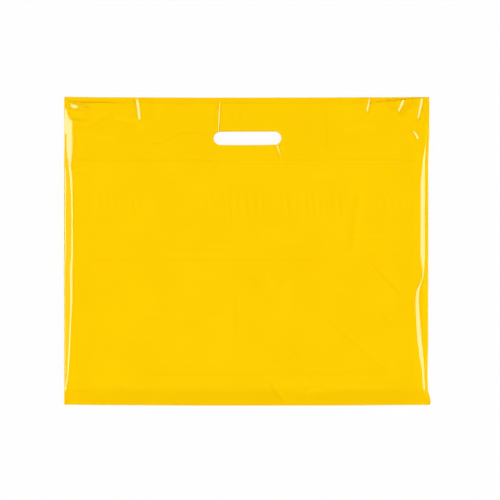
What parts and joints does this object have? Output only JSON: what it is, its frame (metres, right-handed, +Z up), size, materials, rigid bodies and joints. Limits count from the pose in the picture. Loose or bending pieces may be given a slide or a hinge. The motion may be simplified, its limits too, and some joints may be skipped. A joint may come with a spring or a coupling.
{
  "type": "plastic carrier bag",
  "caption": "Wide yellow polythene carrier bag with a turned-over top, a punched round-ended handle slot, welded sides and a bottom gusset, lying flat.",
  "frame": {"origin": "below the middle of the bag, on the surface that it lies on", "axes": "+X along the mouth, +Y from the bottom gusset to the mouth, +Z up out of the front panel"},
  "size_m": [0.547, 0.462, 0.0105],
  "materials": {
    "yellow_polythene_film": "glossy blown polythene film, dyed warm yellow"
  },
  "bodies": {
    "root": {"carrier_bag": "yellow_polythene_film"}
  },
  "joints": []
}
